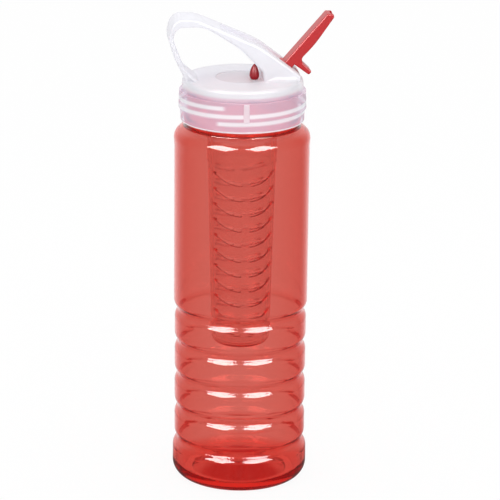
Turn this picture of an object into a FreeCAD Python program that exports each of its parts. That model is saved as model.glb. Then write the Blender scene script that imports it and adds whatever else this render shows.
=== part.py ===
import FreeCAD, Part
import math
import os

from FreeCAD import Vector

# Fruit infuser water bottle, in millimetres.
# Z is up from the ring that the bottle stands on, and the bottle's axis is X = Y = 0.
# X runs along the carrying loop, from its free bow (-X) to the drinking spout (+X).

# Shared working values
cut_overrun = 2.0
fuse_sink = 0.4
blend_limit_share = 0.49
sideways_share = 0.5
full_turn = 360

# Bottle body: base
bumper_radius = 36.5
pushup_height = 7.0
pushup_flat_radius = 13.0
pushup_blend = 12.0
foot_radius = 25.0
foot_blend = 1.2
heel_reach = 3.7
heel_rise = 4.6
heel_blend = 7.5
base_wall = 2.8
body_wall = 1.5

# Bottle body: ribs and grooves
rib_radius = 35.6
groove_count = 5
lowest_groove_height = 20.8
groove_pitch = 18.45
groove_depth = 2.3
groove_upper_rise = 4.0
groove_lower_rise = 3.0
groove_upper_blend = 5.0
groove_root_blend = 2.6
groove_lower_blend = 5.0

# Bottle body: label panel, shoulder and neck
panel_radius = 36.05
panel_length = 86.6
swell_radius = 36.55
swell_height = 7.5
swell_blend = 2.0
shoulder_blend = 7.0
shoulder_rise = 3.9
collar_radius = 31.1
collar_height = 4.0
collar_blend = 1.0
collar_ramp = 1.2
neck_radius = 29.5
neck_bore_radius = 27.8
neck_length = 14.4
rim_blend = 0.5

# Screw thread between the neck and the lid, right-handed
thread_pitch = 4.2
thread_root_height = 2.0
thread_crest_height = 0.9
neck_thread_crest_radius = 30.95
neck_thread_turns = 1.6
neck_thread_drop = 8.6
lid_thread_crest_radius = 30.35
lid_thread_turns = 2.0
thread_start_deg = 241

# Infuser basket
basket_top_radius = 18.1
basket_bottom_radius = 15.7
basket_wall = 2.0
basket_depth = 139.4
basket_bottom_blend = 4.5
basket_collar_radius = 18.5
basket_collar_depth = 38.0
basket_collar_blend = 0.6
flange_radius = 29.8
flange_thickness = 2.2
flange_blend = 3.0
slot_row_count = 11
slot_floor_rise = 7.0
slot_pitch = 8.44
slot_opening = 2.0
slot_rib_width = 4.0
slot_reach_share = 0.84
slot_bow_radius = 19.0
slot_end_blend = 0.7
basket_turn_deg = 2

# Lid gasket
gasket_thickness = 1.8
gasket_inner_radius = 26.4
gasket_outer_radius = 29.8

# Lid: cap
lid_bore_clearance = 0.4
lip_drop = 15.5
lip_radius = 32.75
lip_blend = 0.7
skirt_radius = 33.0
skirt_height = 6.9
band_height = 9.6
band_low_radius = 33.85
band_top_radius = 33.55
band_blend = 0.6
dome_low_radius = 32.4
dome_top_radius = 31.8
dome_blend = 2.2
dome_height = 6.4
top_plate = 2.0
disc_radius = 14.5
disc_depth = 0.4
disc_blend = 0.15
mark_width = 3.2
mark_low_overhang = 0.8
mark_top_inset = 0.4
mark_proud = 0.45
mark_blend = 0.4
mark_turn_deg = -2

# Lid: carrying loop and spout hood, as a side view in X and in rise above the lid's top
loop_foot_outer_reach = 30.0
loop_foot_inner_reach = 23.6
loop_bow_reach = 40.0
loop_bow_rise = 22.6
loop_bow_blend = 9.0
loop_back_reach = 37.4
loop_top_rise = 33.1
loop_back_blend = 7.5
loop_crest_reach = 25.0
loop_crest_blend = 18.0
strap_knee_reach = 7.6
strap_knee_rise = 18.8
strap_knee_blend = 40.0
hood_nose_reach = 31.6
hood_nose_rise = 2.6
arm_waist_reach = 36.9
arm_waist_rise = 12.3
arm_waist_blend = 20.0
arm_foot_rise = 6.6
arm_foot_reach = 32.2
arm_foot_blend = 8.0
arm_thickness = 2.2
crest_thickness = 4.4
crest_inner_blend = 5.0
underside_crest_reach = 21.0
underside_crest_blend = 16.0
underside_mid_reach = 2.6
underside_mid_rise = 17.4
underside_mid_blend = 30.0
hood_throat_reach = 9.4
hood_throat_rise = 5.0
hood_throat_blend = 4.0
hood_foot_reach = 10.2
loop_foot_width = 14.0
loop_crest_width = 21.0
hood_width = 25.0

# Flip spout, as it stands open: side view along its own axis, which leans from the pivot
pivot_reach = 20.9
pivot_rise = 4.5
spout_lean_deg = 49.1
spout_swing_deg = 94
spout_width = 10.5
spout_back_offset = 2.15
stem_front_offset = 2.75
bulge_offset = 3.8
bulge_distance = 21.0
bulge_blend = 60.0
tip_front_distance = 38.4
tip_front_offset = 1.9
spout_tip_distance = 39.5
tip_offset = 0.4
tip_back_distance = 37.4
tip_blend = 0.9
spout_edge_blend = 0.5
barrel_radius = 4.0
trunnion_radius = 1.6
trunnion_length = 3.0
lever_reach = 12.25
lever_root_distance = 5.9
lever_tip_distance = 6.7
lever_tip_thickness = 2.35
lever_tip_blend = 0.9
crook_offset = 3.3
crook_distance = 9.5
crook_blend = 2.8
mouth_bore_width = 6.4
mouth_bore_thickness = 2.2
port_radius = 2.0

# Clearances between moving pieces
swing_clearance = 0.4
side_clearance = 0.5
trunnion_clearance = 0.05
seal_clearance = 0.06
seat_clearance = 0.3

# Spout seal
seal_outer_radius = 3.4
seal_inner_radius = 2.0
seal_seat_depth = 1.0

# Vent valve
vent_reach = 5.7
vent_side = 4.2
vent_bulb_radius = 2.55
vent_bulb_height = 8.6
vent_tip_radius = 1.1
vent_stem_radius = 1.4
vent_stem_clearance = 0.05
vent_flange_radius = 3.4
vent_flange_thickness = 0.9
vent_bill_length = 4.5
vent_bill_width = 1.2
vent_foot_radius = 1.9

# Derived places, stacked from the base upwards
panel_low_height = lowest_groove_height + (groove_count - 1) * groove_pitch + groove_upper_rise
swell_low_height = panel_low_height + panel_length
shoulder_low_height = swell_low_height + swell_height
shoulder_top_height = shoulder_low_height + shoulder_rise
collar_top_height = shoulder_top_height + collar_height
rim_height = collar_top_height + neck_length
neck_thread_low_height = rim_height - neck_thread_drop
basket_bottom_height = rim_height - basket_depth
basket_collar_height = rim_height - basket_collar_depth
lowest_slot_height = basket_bottom_height + slot_floor_rise
lip_height = rim_height - lip_drop
band_low_height = lip_height + skirt_height
band_top_height = band_low_height + band_height
lid_top_height = band_top_height + dome_height
mark_low_height = band_low_height - mark_low_overhang
mark_top_height = band_top_height - mark_top_inset
loop_top_height = lid_top_height + loop_top_rise
loop_bow_height = lid_top_height + loop_bow_rise
strap_knee_height = lid_top_height + strap_knee_rise
hood_nose_height = lid_top_height + hood_nose_rise
arm_waist_height = lid_top_height + arm_waist_rise
arm_foot_height = lid_top_height + arm_foot_rise
underside_mid_height = lid_top_height + underside_mid_rise
hood_throat_height = lid_top_height + hood_throat_rise
pivot_height = lid_top_height + pivot_rise
flange_top_height = rim_height + flange_thickness
seal_face_height = flange_top_height + gasket_thickness
ceiling_height = lid_top_height - top_plate
lid_bore_radius = collar_radius + lid_bore_clearance
lid_thread_low_height = neck_thread_low_height - thread_pitch / 2
disc_floor_height = lid_top_height - disc_depth
pivot = Vector(pivot_reach, 0, pivot_height)
pivot_axis = Vector(0, -1, 0)
up = Vector(0, 0, 1)
origin = Vector(0, 0, 0)


def turn_between(before, corner, after):
    """Unit directions into and out of a corner, the signed turn in radians, and the shorter side."""
    way_in = (corner[0] - before[0], corner[1] - before[1])
    way_out = (after[0] - corner[0], after[1] - corner[1])
    length_in = math.hypot(*way_in)
    length_out = math.hypot(*way_out)
    way_in = (way_in[0] / length_in, way_in[1] / length_in)
    way_out = (way_out[0] / length_out, way_out[1] / length_out)
    cross = way_in[0] * way_out[1] - way_in[1] * way_out[0]
    dot = way_in[0] * way_out[0] + way_in[1] * way_out[1]
    return way_in, way_out, math.atan2(cross, dot), min(length_in, length_out)


def blended_path(corners, closed):
    """Lines and arcs through (across, height, blend radius) corners, in the XZ plane."""
    count = len(corners)
    stops = []
    for index, corner in enumerate(corners):
        place = (corner[0], corner[1])
        is_end = not closed and index in (0, count - 1)
        if is_end or not corner[2]:
            stops.append((place, None, place))
            continue
        way_in, way_out, turn, room = turn_between(corners[index - 1], corner, corners[(index + 1) % count])
        half_tangent = math.tan(abs(turn) / 2)
        radius = min(corner[2], blend_limit_share * room / half_tangent)
        reach = radius * half_tangent
        start = (place[0] - way_in[0] * reach, place[1] - way_in[1] * reach)
        end = (place[0] + way_out[0] * reach, place[1] + way_out[1] * reach)
        inward = (way_out[0] - way_in[0], way_out[1] - way_in[1])
        inward_length = math.hypot(*inward)
        sag = radius / math.cos(turn / 2) - radius
        middle = tuple(place[axis] + inward[axis] / inward_length * sag for axis in (0, 1))
        stops.append((start, middle, end))
    edges = []
    for index, (start, middle, end) in enumerate(stops):
        if middle:
            edges.append(Part.Arc(flat(start), flat(middle), flat(end)).toShape())
        if index == count - 1 and not closed:
            break
        following = stops[(index + 1) % count][0]
        edges.append(Part.makeLine(flat(end), flat(following)))
    return edges


def flat(place):
    """A point of a side view, in the XZ plane."""
    return Vector(place[0], 0, place[1])


def outline_face(corners):
    """Face inside a closed outline with blended corners."""
    return Part.Face(Part.Wire(Part.__sortEdges__(blended_path(corners, True))))


def turned_solid(corners):
    """Solid of revolution about the bottle's axis."""
    return outline_face(corners).revolve(origin, up, full_turn)


def side_prism(corners, width):
    """A side view carried across the bottle, centred on the XZ plane."""
    prism = outline_face(corners).extrude(Vector(0, width, 0))
    prism.translate(Vector(0, -width / 2, 0))
    return prism


def inset_corners(corners, walls):
    """The same outline moved inwards, each stretch by its own wall."""
    lines = []
    for index, wall in enumerate(walls):
        start, end = corners[index], corners[index + 1]
        length = math.hypot(end[0] - start[0], end[1] - start[1])
        way = ((end[0] - start[0]) / length, (end[1] - start[1]) / length)
        lines.append((start[0] - way[1] * wall, start[1] + way[0] * wall, way))
    inner = [(0, lines[0][1], 0)]
    for index in range(1, len(walls)):
        (x1, z1, way1), (x2, z2, way2) = lines[index - 1], lines[index]
        cross = way1[0] * way2[1] - way1[1] * way2[0]
        run = ((x2 - x1) * way2[1] - (z2 - z1) * way2[0]) / cross
        wall = (walls[index - 1] + walls[index]) / 2
        blend = corners[index][2] - math.copysign(wall, cross)
        inner.append((x1 + way1[0] * run, z1 + way1[1] * run, max(blend, 0)))
    inner.append((lines[-1][0], corners[-1][1], 0))
    return inner


def screw_ridge(root_radius, crest_radius, low_height, turns, start_deg):
    """One helical ridge whose foot is sunk into the wall that carries it."""
    outwards = math.copysign(1, crest_radius - root_radius)
    sunk_radius = root_radius - outwards * fuse_sink
    half_root = thread_root_height / 2
    half_crest = thread_crest_height / 2
    points = [flat((sunk_radius, -half_root)), flat((root_radius, -half_root)),
              flat((crest_radius, -half_crest)), flat((crest_radius, half_crest)),
              flat((root_radius, half_root)), flat((sunk_radius, half_root))]
    section = Part.makePolygon(points + points[:1])
    helix = Part.makeHelix(thread_pitch, thread_pitch * turns, root_radius)
    ridge = Part.Wire(helix.Edges).makePipeShell([section], True, True)
    ridge.rotate(origin, up, start_deg)
    ridge.translate(Vector(0, 0, low_height))
    return ridge


def bottle_outline():
    """Corners of the bottle's outside from the centre of the base to the top of the shoulder."""
    corners = [(0, pushup_height, 0), (pushup_flat_radius, pushup_height, pushup_blend),
               (foot_radius, 0, foot_blend), (bumper_radius - heel_reach, 0, heel_blend),
               (bumper_radius, heel_rise, heel_blend)]
    walls = [base_wall] * (len(corners) - 1)
    for row in range(groove_count):
        middle = lowest_groove_height + row * groove_pitch
        below = bumper_radius if row == 0 else rib_radius
        above = panel_radius if row == groove_count - 1 else rib_radius
        corners.append((below, middle - groove_lower_rise, groove_lower_blend))
        corners.append((rib_radius - groove_depth, middle, groove_root_blend))
        corners.append((above, middle + groove_upper_rise, groove_upper_blend))
    corners += [(panel_radius, swell_low_height, swell_blend),
                (swell_radius, shoulder_low_height, shoulder_blend),
                (collar_radius, shoulder_top_height, collar_blend)]
    walls += [body_wall] * (len(corners) - len(walls) - 1)
    return corners, walls


def make_bottle_body():
    """Blown bottle: ribbed body, label panel, shoulder, collar and threaded neck."""
    corners, walls = bottle_outline()
    neck_wall = collar_radius - neck_bore_radius
    inside = inset_corners(corners + [(collar_radius, rim_height, 0)], walls + [neck_wall])
    neck = [(collar_radius, collar_top_height, collar_blend),
            (neck_radius, collar_top_height + collar_ramp, 0),
            (neck_radius, rim_height, rim_blend)]
    body = turned_solid(corners + neck + inside[::-1])
    ridge = screw_ridge(neck_radius, neck_thread_crest_radius, neck_thread_low_height,
                        neck_thread_turns, thread_start_deg)
    return body.fuse(ridge).removeSplitter()


def basket_radius(height):
    """Outside radius of the tapered basket tube at a height."""
    share = (height - basket_bottom_height) / (basket_collar_height - basket_bottom_height)
    return basket_bottom_radius + (basket_top_radius - basket_bottom_radius) * share


def basket_slot(side, height):
    """A bowed slot on one side of the rib, cut right through the basket along Y."""
    near = slot_rib_width / 2
    far = basket_radius(height) * slot_reach_share

    def rise(across):
        return slot_bow_radius - math.sqrt(slot_bow_radius ** 2 - (across - near) ** 2)

    middle = (near + far) / 2
    low = [(side * across, height + rise(across)) for across in (near, middle, far)]
    high = [(across, level + slot_opening) for across, level in low]
    edges = [Part.Arc(*[flat(place) for place in low]).toShape(),
             Part.makeLine(flat(low[2]), flat(high[2])),
             Part.Arc(*[flat(place) for place in high[::-1]]).toShape(),
             Part.makeLine(flat(high[0]), flat(low[0]))]
    depth = 2 * (basket_top_radius + cut_overrun)
    slot = Part.Face(Part.Wire(edges)).extrude(Vector(0, depth, 0))
    slot.translate(Vector(0, -depth / 2, 0))
    ends = [edge for edge in slot.Edges if abs(edge.tangentAt(edge.FirstParameter).y) > sideways_share]
    return slot.makeFillet(slot_end_blend, ends)


def make_infuser_basket():
    """Slotted cup that hangs in the bottle from a flange on the neck's rim."""
    inner_top = basket_top_radius - basket_wall
    outside = [(0, basket_bottom_height, 0),
               (basket_bottom_radius, basket_bottom_height, basket_bottom_blend),
               (basket_top_radius, basket_collar_height, 0),
               (basket_collar_radius, basket_collar_height, basket_collar_blend),
               (basket_collar_radius, rim_height, flange_blend), (flange_radius, rim_height, 0),
               (flange_radius, flange_top_height, 0)]
    inside = [(inner_top, flange_top_height, 0),
              (inner_top, basket_collar_height, 0),
              (basket_bottom_radius - basket_wall, basket_bottom_height + basket_wall,
               basket_bottom_blend - basket_wall),
              (0, basket_bottom_height + basket_wall, 0)]
    cup = turned_solid(outside + inside)
    slots = [basket_slot(side, lowest_slot_height + row * slot_pitch)
             for row in range(slot_row_count) for side in (-1, 1)]
    basket = cup.cut(Part.makeCompound(slots))
    basket.rotate(origin, up, basket_turn_deg)
    return basket


def make_lid_gasket():
    """Flat ring pressed between the basket's flange and the lid."""
    return turned_solid([(gasket_inner_radius, flange_top_height, 0),
                         (gasket_outer_radius, flange_top_height, 0),
                         (gasket_outer_radius, seal_face_height, 0),
                         (gasket_inner_radius, seal_face_height, 0)])


def lid_cap():
    """Cap with its stepped skirt, its top plate and the ring that presses on the gasket."""
    return turned_solid([
        (lid_bore_radius, lip_height, 0), (lip_radius, lip_height, lip_blend),
        (skirt_radius, band_low_height, 0), (band_low_radius, band_low_height, band_blend),
        (band_top_radius, band_top_height, band_blend), (dome_low_radius, band_top_height, 0),
        (dome_top_radius, lid_top_height, dome_blend), (disc_radius, lid_top_height, disc_blend),
        (disc_radius, disc_floor_height, disc_blend), (0, disc_floor_height, 0), (0, ceiling_height, 0),
        (gasket_inner_radius, ceiling_height, 0), (gasket_inner_radius, seal_face_height, 0),
        (lid_bore_radius, seal_face_height, 0)])


def lid_mark():
    """Upright bar on the front of the skirt that shows where the lid is closed."""
    depth = band_low_radius + mark_proud - lid_bore_radius - fuse_sink
    bar = Part.makeBox(mark_width, depth, mark_top_height - mark_low_height,
                       Vector(-mark_width / 2, -band_low_radius - mark_proud, mark_low_height))
    front = [edge for edge in bar.Edges if edge.CenterOfMass.y < -band_low_radius]
    bar = bar.makeFillet(mark_blend, front)
    bar.rotate(origin, up, mark_turn_deg)
    return bar


def loop_outline():
    """Side view of the carrying loop and the hood that it runs into."""
    outer = [(-loop_foot_outer_reach, ceiling_height, 0),
             (-arm_waist_reach, arm_waist_height, arm_waist_blend),
             (-loop_bow_reach, loop_bow_height, loop_bow_blend),
             (-loop_back_reach, loop_top_height, loop_back_blend),
             (-loop_crest_reach, loop_top_height, loop_crest_blend),
             (strap_knee_reach, strap_knee_height, strap_knee_blend),
             (hood_nose_reach, hood_nose_height, 0),
             (hood_nose_reach, ceiling_height, 0)]
    inner = [(hood_foot_reach, ceiling_height, 0),
             (hood_throat_reach, hood_throat_height, hood_throat_blend),
             (-underside_mid_reach, underside_mid_height, underside_mid_blend),
             (-underside_crest_reach, loop_top_height - crest_thickness, underside_crest_blend),
             (-loop_back_reach + arm_thickness, loop_top_height - crest_thickness, crest_inner_blend),
             (-loop_bow_reach + arm_thickness, loop_bow_height, loop_bow_blend - arm_thickness),
             (-arm_foot_reach, arm_foot_height, arm_foot_blend),
             (-loop_foot_inner_reach, ceiling_height, 0)]
    return outer + inner


def loop_width_envelope():
    """Block that gives the loop its width: narrow at the free foot, widest at the hood."""
    top = loop_top_height + cut_overrun
    arm = [Vector(-loop_crest_reach, side * width / 2, height)
           for side, width, height in ((-1, loop_foot_width, ceiling_height),
                                       (-1, loop_crest_width, loop_bow_height), (-1, loop_crest_width, top),
                                       (1, loop_crest_width, top), (1, loop_crest_width, loop_bow_height),
                                       (1, loop_foot_width, ceiling_height))]
    arm_block = Part.Face(Part.makePolygon(arm + arm[:1])).extrude(Vector(-loop_bow_reach, 0, 0))
    strap = [Vector(reach, side * width / 2, ceiling_height)
             for side, width, reach in ((-1, loop_crest_width, -loop_crest_reach),
                                        (-1, hood_width, strap_knee_reach), (-1, hood_width, dome_low_radius),
                                        (1, hood_width, dome_low_radius), (1, hood_width, strap_knee_reach),
                                        (1, loop_crest_width, -loop_crest_reach))]
    strap_block = Part.Face(Part.makePolygon(strap + strap[:1])).extrude(Vector(0, 0, top - ceiling_height))
    return arm_block, strap_block


def make_loop():
    """Carrying loop and hood, trimmed to their widths and to the round of the lid."""
    slab = side_prism(loop_outline(), hood_width + cut_overrun)
    arm_block, strap_block = loop_width_envelope()
    round_height = loop_top_height - ceiling_height + cut_overrun
    round_top = Part.makeCylinder(dome_top_radius - seat_clearance, round_height,
                                  Vector(0, 0, ceiling_height))
    behind = Part.makeBox(2 * loop_bow_reach, 2 * hood_width, loop_top_height,
                          Vector(-2 * loop_bow_reach, -hood_width, ceiling_height))
    arm = slab.common(arm_block)
    strap = slab.common(strap_block).common(round_top.fuse(behind))
    return arm.fuse(strap).removeSplitter()


def spout_frame(along, across):
    """Side-view point at a distance along the open spout and across it, towards its back."""
    lean = math.radians(spout_lean_deg)
    return (pivot_reach + along * math.cos(lean) - across * math.sin(lean),
            pivot_height + along * math.sin(lean) + across * math.cos(lean))


def spout_outline():
    """Side view of the stem, the thumb lever and the mouthpiece, from the pivot round to its back."""
    places = [(0, -stem_front_offset, 0), (lever_root_distance, -stem_front_offset, 0),
              (lever_tip_distance, -lever_reach, lever_tip_blend),
              (lever_tip_distance + lever_tip_thickness, -lever_reach, lever_tip_blend),
              (crook_distance, -crook_offset, crook_blend), (bulge_distance, -bulge_offset, bulge_blend),
              (tip_front_distance, -tip_front_offset, tip_blend),
              (spout_tip_distance, -tip_offset, tip_blend),
              (tip_back_distance, spout_back_offset, tip_blend), (0, spout_back_offset, 0)]
    return [spout_frame(along, across) + (blend,) for along, across, blend in places]


def spout_arm():
    """Mouthpiece and thumb lever as one bent bar with softened sides."""
    bar = side_prism(spout_outline(), spout_width)
    foot_heights = [spout_frame(0, across)[1] for across in (-stem_front_offset, spout_back_offset)]
    sides = [edge for edge in bar.Edges
             if abs(edge.tangentAt(edge.FirstParameter).y) < sideways_share
             and edge.BoundBox.ZMax > max(foot_heights) + spout_edge_blend]
    return bar.makeFillet(spout_edge_blend, sides)


def spout_block(near_along, far_along, front, back, width, turn_deg):
    """Box between two distances along the spout and two offsets across it, turned with the spout."""
    block = side_prism([(near_along, -front, 0), (far_along, -front, 0), (far_along, back, 0),
                        (near_along, back, 0)], width)
    block.rotate(origin, pivot_axis, spout_lean_deg + turn_deg)
    block.translate(pivot)
    return block


def cross_cylinder(radius, length):
    """Cylinder along Y about the spout's pivot, centred on the XZ plane."""
    return Part.makeCylinder(radius, length, pivot - Vector(0, length / 2, 0), Vector(0, 1, 0))


def spout_passage():
    """Water way: up from the port into the barrel, then along the mouthpiece to its tip."""
    port = Part.makeCylinder(port_radius, barrel_radius + cut_overrun,
                             pivot - Vector(0, 0, barrel_radius + cut_overrun))
    half_thickness = mouth_bore_thickness / 2
    bore = spout_block(-half_thickness, spout_tip_distance + cut_overrun, half_thickness + tip_offset,
                       half_thickness - tip_offset, mouth_bore_width, 0)
    return port.fuse(bore)


def make_flip_spout():
    """Flip spout: mouthpiece, thumb lever, barrel and the trunnions that it turns on."""
    barrel = cross_cylinder(barrel_radius, spout_width)
    trunnions = cross_cylinder(trunnion_radius, spout_width + 2 * trunnion_length)
    arm = spout_arm()
    return arm.fuse([barrel, trunnions]).cut(spout_passage()).removeSplitter()


def spout_pocket():
    """Room in the hood and the loop for the spout, open, folded back and on the way between."""
    width = spout_width + 2 * side_clearance
    front = stem_front_offset + swing_clearance
    back = spout_back_offset + swing_clearance
    above = spout_tip_distance + swing_clearance
    barrel_room = cross_cylinder(barrel_radius + swing_clearance, width)
    open_room = spout_block(0, above, front, back, width, 0)
    folded_room = spout_block(0, above, above, back, width, spout_swing_deg)
    return barrel_room.fuse([open_room, folded_room])


def make_lid():
    """Lid in one moulding: screw cap, carrying loop and spout hood."""
    cap = lid_cap()
    lid = cap.fuse([make_loop(), lid_mark()])
    lid = lid.cut(spout_pocket())
    bearing = cross_cylinder(trunnion_radius + trunnion_clearance,
                             spout_width + 2 * trunnion_length + 2 * side_clearance)
    seat_floor = lid_top_height - seal_seat_depth
    seat = Part.makeCylinder(seal_outer_radius, pivot_height - seat_floor, Vector(pivot_reach, 0, seat_floor))
    port = Part.makeCylinder(seal_inner_radius, pivot_height - ceiling_height + cut_overrun,
                             Vector(pivot_reach, 0, ceiling_height - cut_overrun))
    vent_hole = Part.makeCylinder(vent_stem_radius + vent_stem_clearance, 2 * cut_overrun + top_plate,
                                  Vector(vent_reach, -vent_side, ceiling_height - cut_overrun))
    lid = lid.cut(bearing.fuse([seat, port, vent_hole]))
    ridge = screw_ridge(lid_bore_radius, lid_thread_crest_radius, lid_thread_low_height,
                        lid_thread_turns, thread_start_deg)
    return lid.fuse(ridge).removeSplitter()


def make_spout_seal():
    """Silicone ring round the port, hollowed to the barrel that turns on it."""
    bottom = lid_top_height - seal_seat_depth
    ring = Part.makeCylinder(seal_outer_radius, pivot_height - bottom, Vector(pivot_reach, 0, bottom))
    hole = Part.makeCylinder(seal_inner_radius, pivot_height - bottom, Vector(pivot_reach, 0, bottom))
    barrel_room = cross_cylinder(barrel_radius + seal_clearance, spout_width)
    return ring.cut(hole.fuse(barrel_room))


def make_vent_valve():
    """Silicone air valve: pull bulb above the lid, stem through it, flange and bill below."""
    bulb_middle = disc_floor_height + math.sqrt(vent_bulb_radius ** 2 - vent_foot_radius ** 2)
    bulb_top = disc_floor_height + vent_bulb_height
    bill_end = ceiling_height - vent_flange_thickness - vent_bill_length
    edges = [Part.makeLine(flat((0, bill_end)), flat((vent_bill_width / 2, bill_end)))]
    climb = [(vent_bill_width / 2, bill_end), (vent_stem_radius, ceiling_height - vent_flange_thickness),
             (vent_flange_radius, ceiling_height - vent_flange_thickness),
             (vent_flange_radius, ceiling_height),
             (vent_stem_radius, ceiling_height), (vent_stem_radius, disc_floor_height),
             (vent_foot_radius, disc_floor_height)]
    edges += [Part.makeLine(flat(start), flat(end)) for start, end in zip(climb, climb[1:])]
    lift = bulb_top - bulb_middle - vent_tip_radius
    slant = math.acos((vent_bulb_radius - vent_tip_radius) / lift)
    belly = [(vent_bulb_radius * math.cos(angle), bulb_middle + vent_bulb_radius * math.sin(angle))
             for angle in (0, math.pi / 2 - slant)]
    nose = [(vent_tip_radius * math.cos(angle), bulb_middle + lift + vent_tip_radius * math.sin(angle))
            for angle in (math.pi / 2 - slant, math.pi / 2 - slant / 2, math.pi / 2)]
    edges.append(Part.Arc(flat(climb[-1]), flat(belly[0]), flat(belly[1])).toShape())
    edges.append(Part.makeLine(flat(belly[1]), flat(nose[0])))
    edges.append(Part.Arc(*[flat(place) for place in nose]).toShape())
    edges.append(Part.makeLine(flat(nose[2]), flat((0, bill_end))))
    valve = Part.Face(Part.Wire(edges)).revolve(origin, up, full_turn)
    valve.translate(Vector(vent_reach, -vent_side, 0))
    return valve


makers = {
    "bottle_body": make_bottle_body,
    "infuser_basket": make_infuser_basket,
    "lid_gasket": make_lid_gasket,
    "lid": make_lid,
    "flip_spout": make_flip_spout,
    "spout_seal": make_spout_seal,
    "vent_valve": make_vent_valve,
}

os.makedirs("parts", exist_ok=True)
for name, make in makers.items():
    shape = make()
    box = shape.BoundBox
    print(name, "valid", shape.isValid(), "solids", len(shape.Solids), "volume", round(shape.Volume, 1),
          "x", round(box.XMin, 2), round(box.XMax, 2), "y", round(box.YMin, 2), round(box.YMax, 2),
          "z", round(box.ZMin, 2), round(box.ZMax, 2))
    shape.exportStep(os.path.join("parts", name + ".step"))
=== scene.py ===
"""Looks of a fruit infuser water bottle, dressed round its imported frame.

Sizes are in millimetres and become metres where a mesh, lamp or pattern is made.
"""

import logging
import math
from dataclasses import dataclass
from enum import Enum
from typing import Any, Optional

import bmesh
import bpy
import numpy as np
from mathutils import Matrix, Vector

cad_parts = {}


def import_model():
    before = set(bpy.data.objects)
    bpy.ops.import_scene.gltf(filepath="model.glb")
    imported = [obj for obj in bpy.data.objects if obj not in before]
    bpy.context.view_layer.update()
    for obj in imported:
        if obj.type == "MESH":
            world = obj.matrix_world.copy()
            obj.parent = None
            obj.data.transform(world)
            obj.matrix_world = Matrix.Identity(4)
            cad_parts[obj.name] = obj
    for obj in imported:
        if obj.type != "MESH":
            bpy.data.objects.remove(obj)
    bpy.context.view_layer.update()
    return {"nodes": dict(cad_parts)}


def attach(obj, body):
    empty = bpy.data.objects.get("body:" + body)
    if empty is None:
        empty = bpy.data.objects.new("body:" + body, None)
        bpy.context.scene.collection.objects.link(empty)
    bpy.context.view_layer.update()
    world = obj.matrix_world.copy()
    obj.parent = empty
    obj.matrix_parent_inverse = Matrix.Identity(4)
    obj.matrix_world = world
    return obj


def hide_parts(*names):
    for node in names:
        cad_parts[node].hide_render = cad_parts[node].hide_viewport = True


MM = 0.001
# Closer than this, two places count as one
MERGE = 1e-6
BLEND_LIMIT_SHARE = 0.49
ARC_STEP_DEG = 6.0
WHITE = (1.0, 1.0, 1.0, 1.0)
Corner = tuple[float, float, float]
Surface = tuple[np.ndarray, list[list[int]]]
Tree = bpy.types.NodeTree
Socket = bpy.types.NodeSocket
log = logging.getLogger("infuser_bottle")


class Body(str, Enum):
    """The bodies that new pieces ride on."""

    LID = "lid"
    SPOUT = "spout"


class Carve(str, Enum):
    """What a tool body does to the body that it meets."""

    ADD = "UNION"
    CUT = "DIFFERENCE"


def rounded(corners: list[Corner], closed: bool = True) -> np.ndarray:
    """Sample an outline whose corners are arcs.

    With turn a and radius r, the arc touches both sides at r * tan(a / 2) from the corner, about a
    centre on the inner bisector at r / cos(a / 2) from it.

    Args:
        corners: across, height and blend radius of each corner.
        closed: whether the last corner joins the first.

    Returns:
        The points, one row each.
    """
    count = len(corners)
    runs = []
    for index, (across, height, blend) in enumerate(corners):
        corner = np.array((across, height))
        if not blend or (not closed and index in (0, count - 1)):
            runs.append(corner[None])
            continue
        sides = [np.array(corners[(index + step) % count][:2]) - corner for step in (-1, 1)]
        lengths = [np.linalg.norm(side) for side in sides]
        back, ahead = (side / length for side, length in zip(sides, lengths))
        turn = math.pi - math.acos(np.clip(back @ ahead, -1, 1))
        radius = min(blend, BLEND_LIMIT_SHARE * min(lengths) / math.tan(turn / 2))
        middle = (back + ahead) / np.linalg.norm(back + ahead)
        centre = corner + middle * radius / math.cos(turn / 2)
        start = corner + back * radius * math.tan(turn / 2) - centre
        sense = math.copysign(1, back[1] * ahead[0] - back[0] * ahead[1])
        steps = math.ceil(math.degrees(turn) / ARC_STEP_DEG) + 2
        angles = math.atan2(start[1], start[0]) + sense * np.linspace(0, turn, steps)
        runs.append(centre + radius * np.stack((np.cos(angles), np.sin(angles)), 1))
    return np.concatenate(runs)


def grid_faces(rows: int, columns: int) -> list[list[int]]:
    """Quads of a grid that closes on itself along its columns.

    Args:
        rows: points along the grid.
        columns: points round it.

    Returns:
        The faces, each with the numbers of its corners.
    """
    row, column = np.meshgrid(np.arange(rows - 1), np.arange(columns), indexing="ij")
    after = (column + 1) % columns
    return np.stack((row * columns + column, row * columns + after, (row + 1) * columns + after,
                     (row + 1) * columns + column), -1).reshape(-1, 4).tolist()


def lofted(sections: np.ndarray) -> Surface:
    """A closed skin through closed sections, with a flat face at each end.

    Args:
        sections: points by section, by place in the section, by axis.

    Returns:
        The vertices and faces.
    """
    rows, columns = sections.shape[:2]
    faces = grid_faces(rows, columns)
    faces.append(list(range(columns - 1, -1, -1)))
    faces.append(list(range((rows - 1) * columns, rows * columns)))
    return sections.reshape(-1, 3), faces


def filled(points: np.ndarray, step: float, top: float) -> np.ndarray:
    """Divide the stretches of a profile that lie below a height into steps.

    Args:
        points: reach and height of each point.
        step: the longest step.
        top: the height up to which stretches are divided.

    Returns:
        The profile with the new points in place.
    """
    runs = []
    for start, end in zip(points, points[1:]):
        parts = math.ceil(np.linalg.norm(end - start) / step) if max(start[1], end[1]) <= top else 1
        runs.append(start + (end - start) * np.arange(parts)[:, None] / parts)
    return np.concatenate(runs + [points[-1:]])


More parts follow.
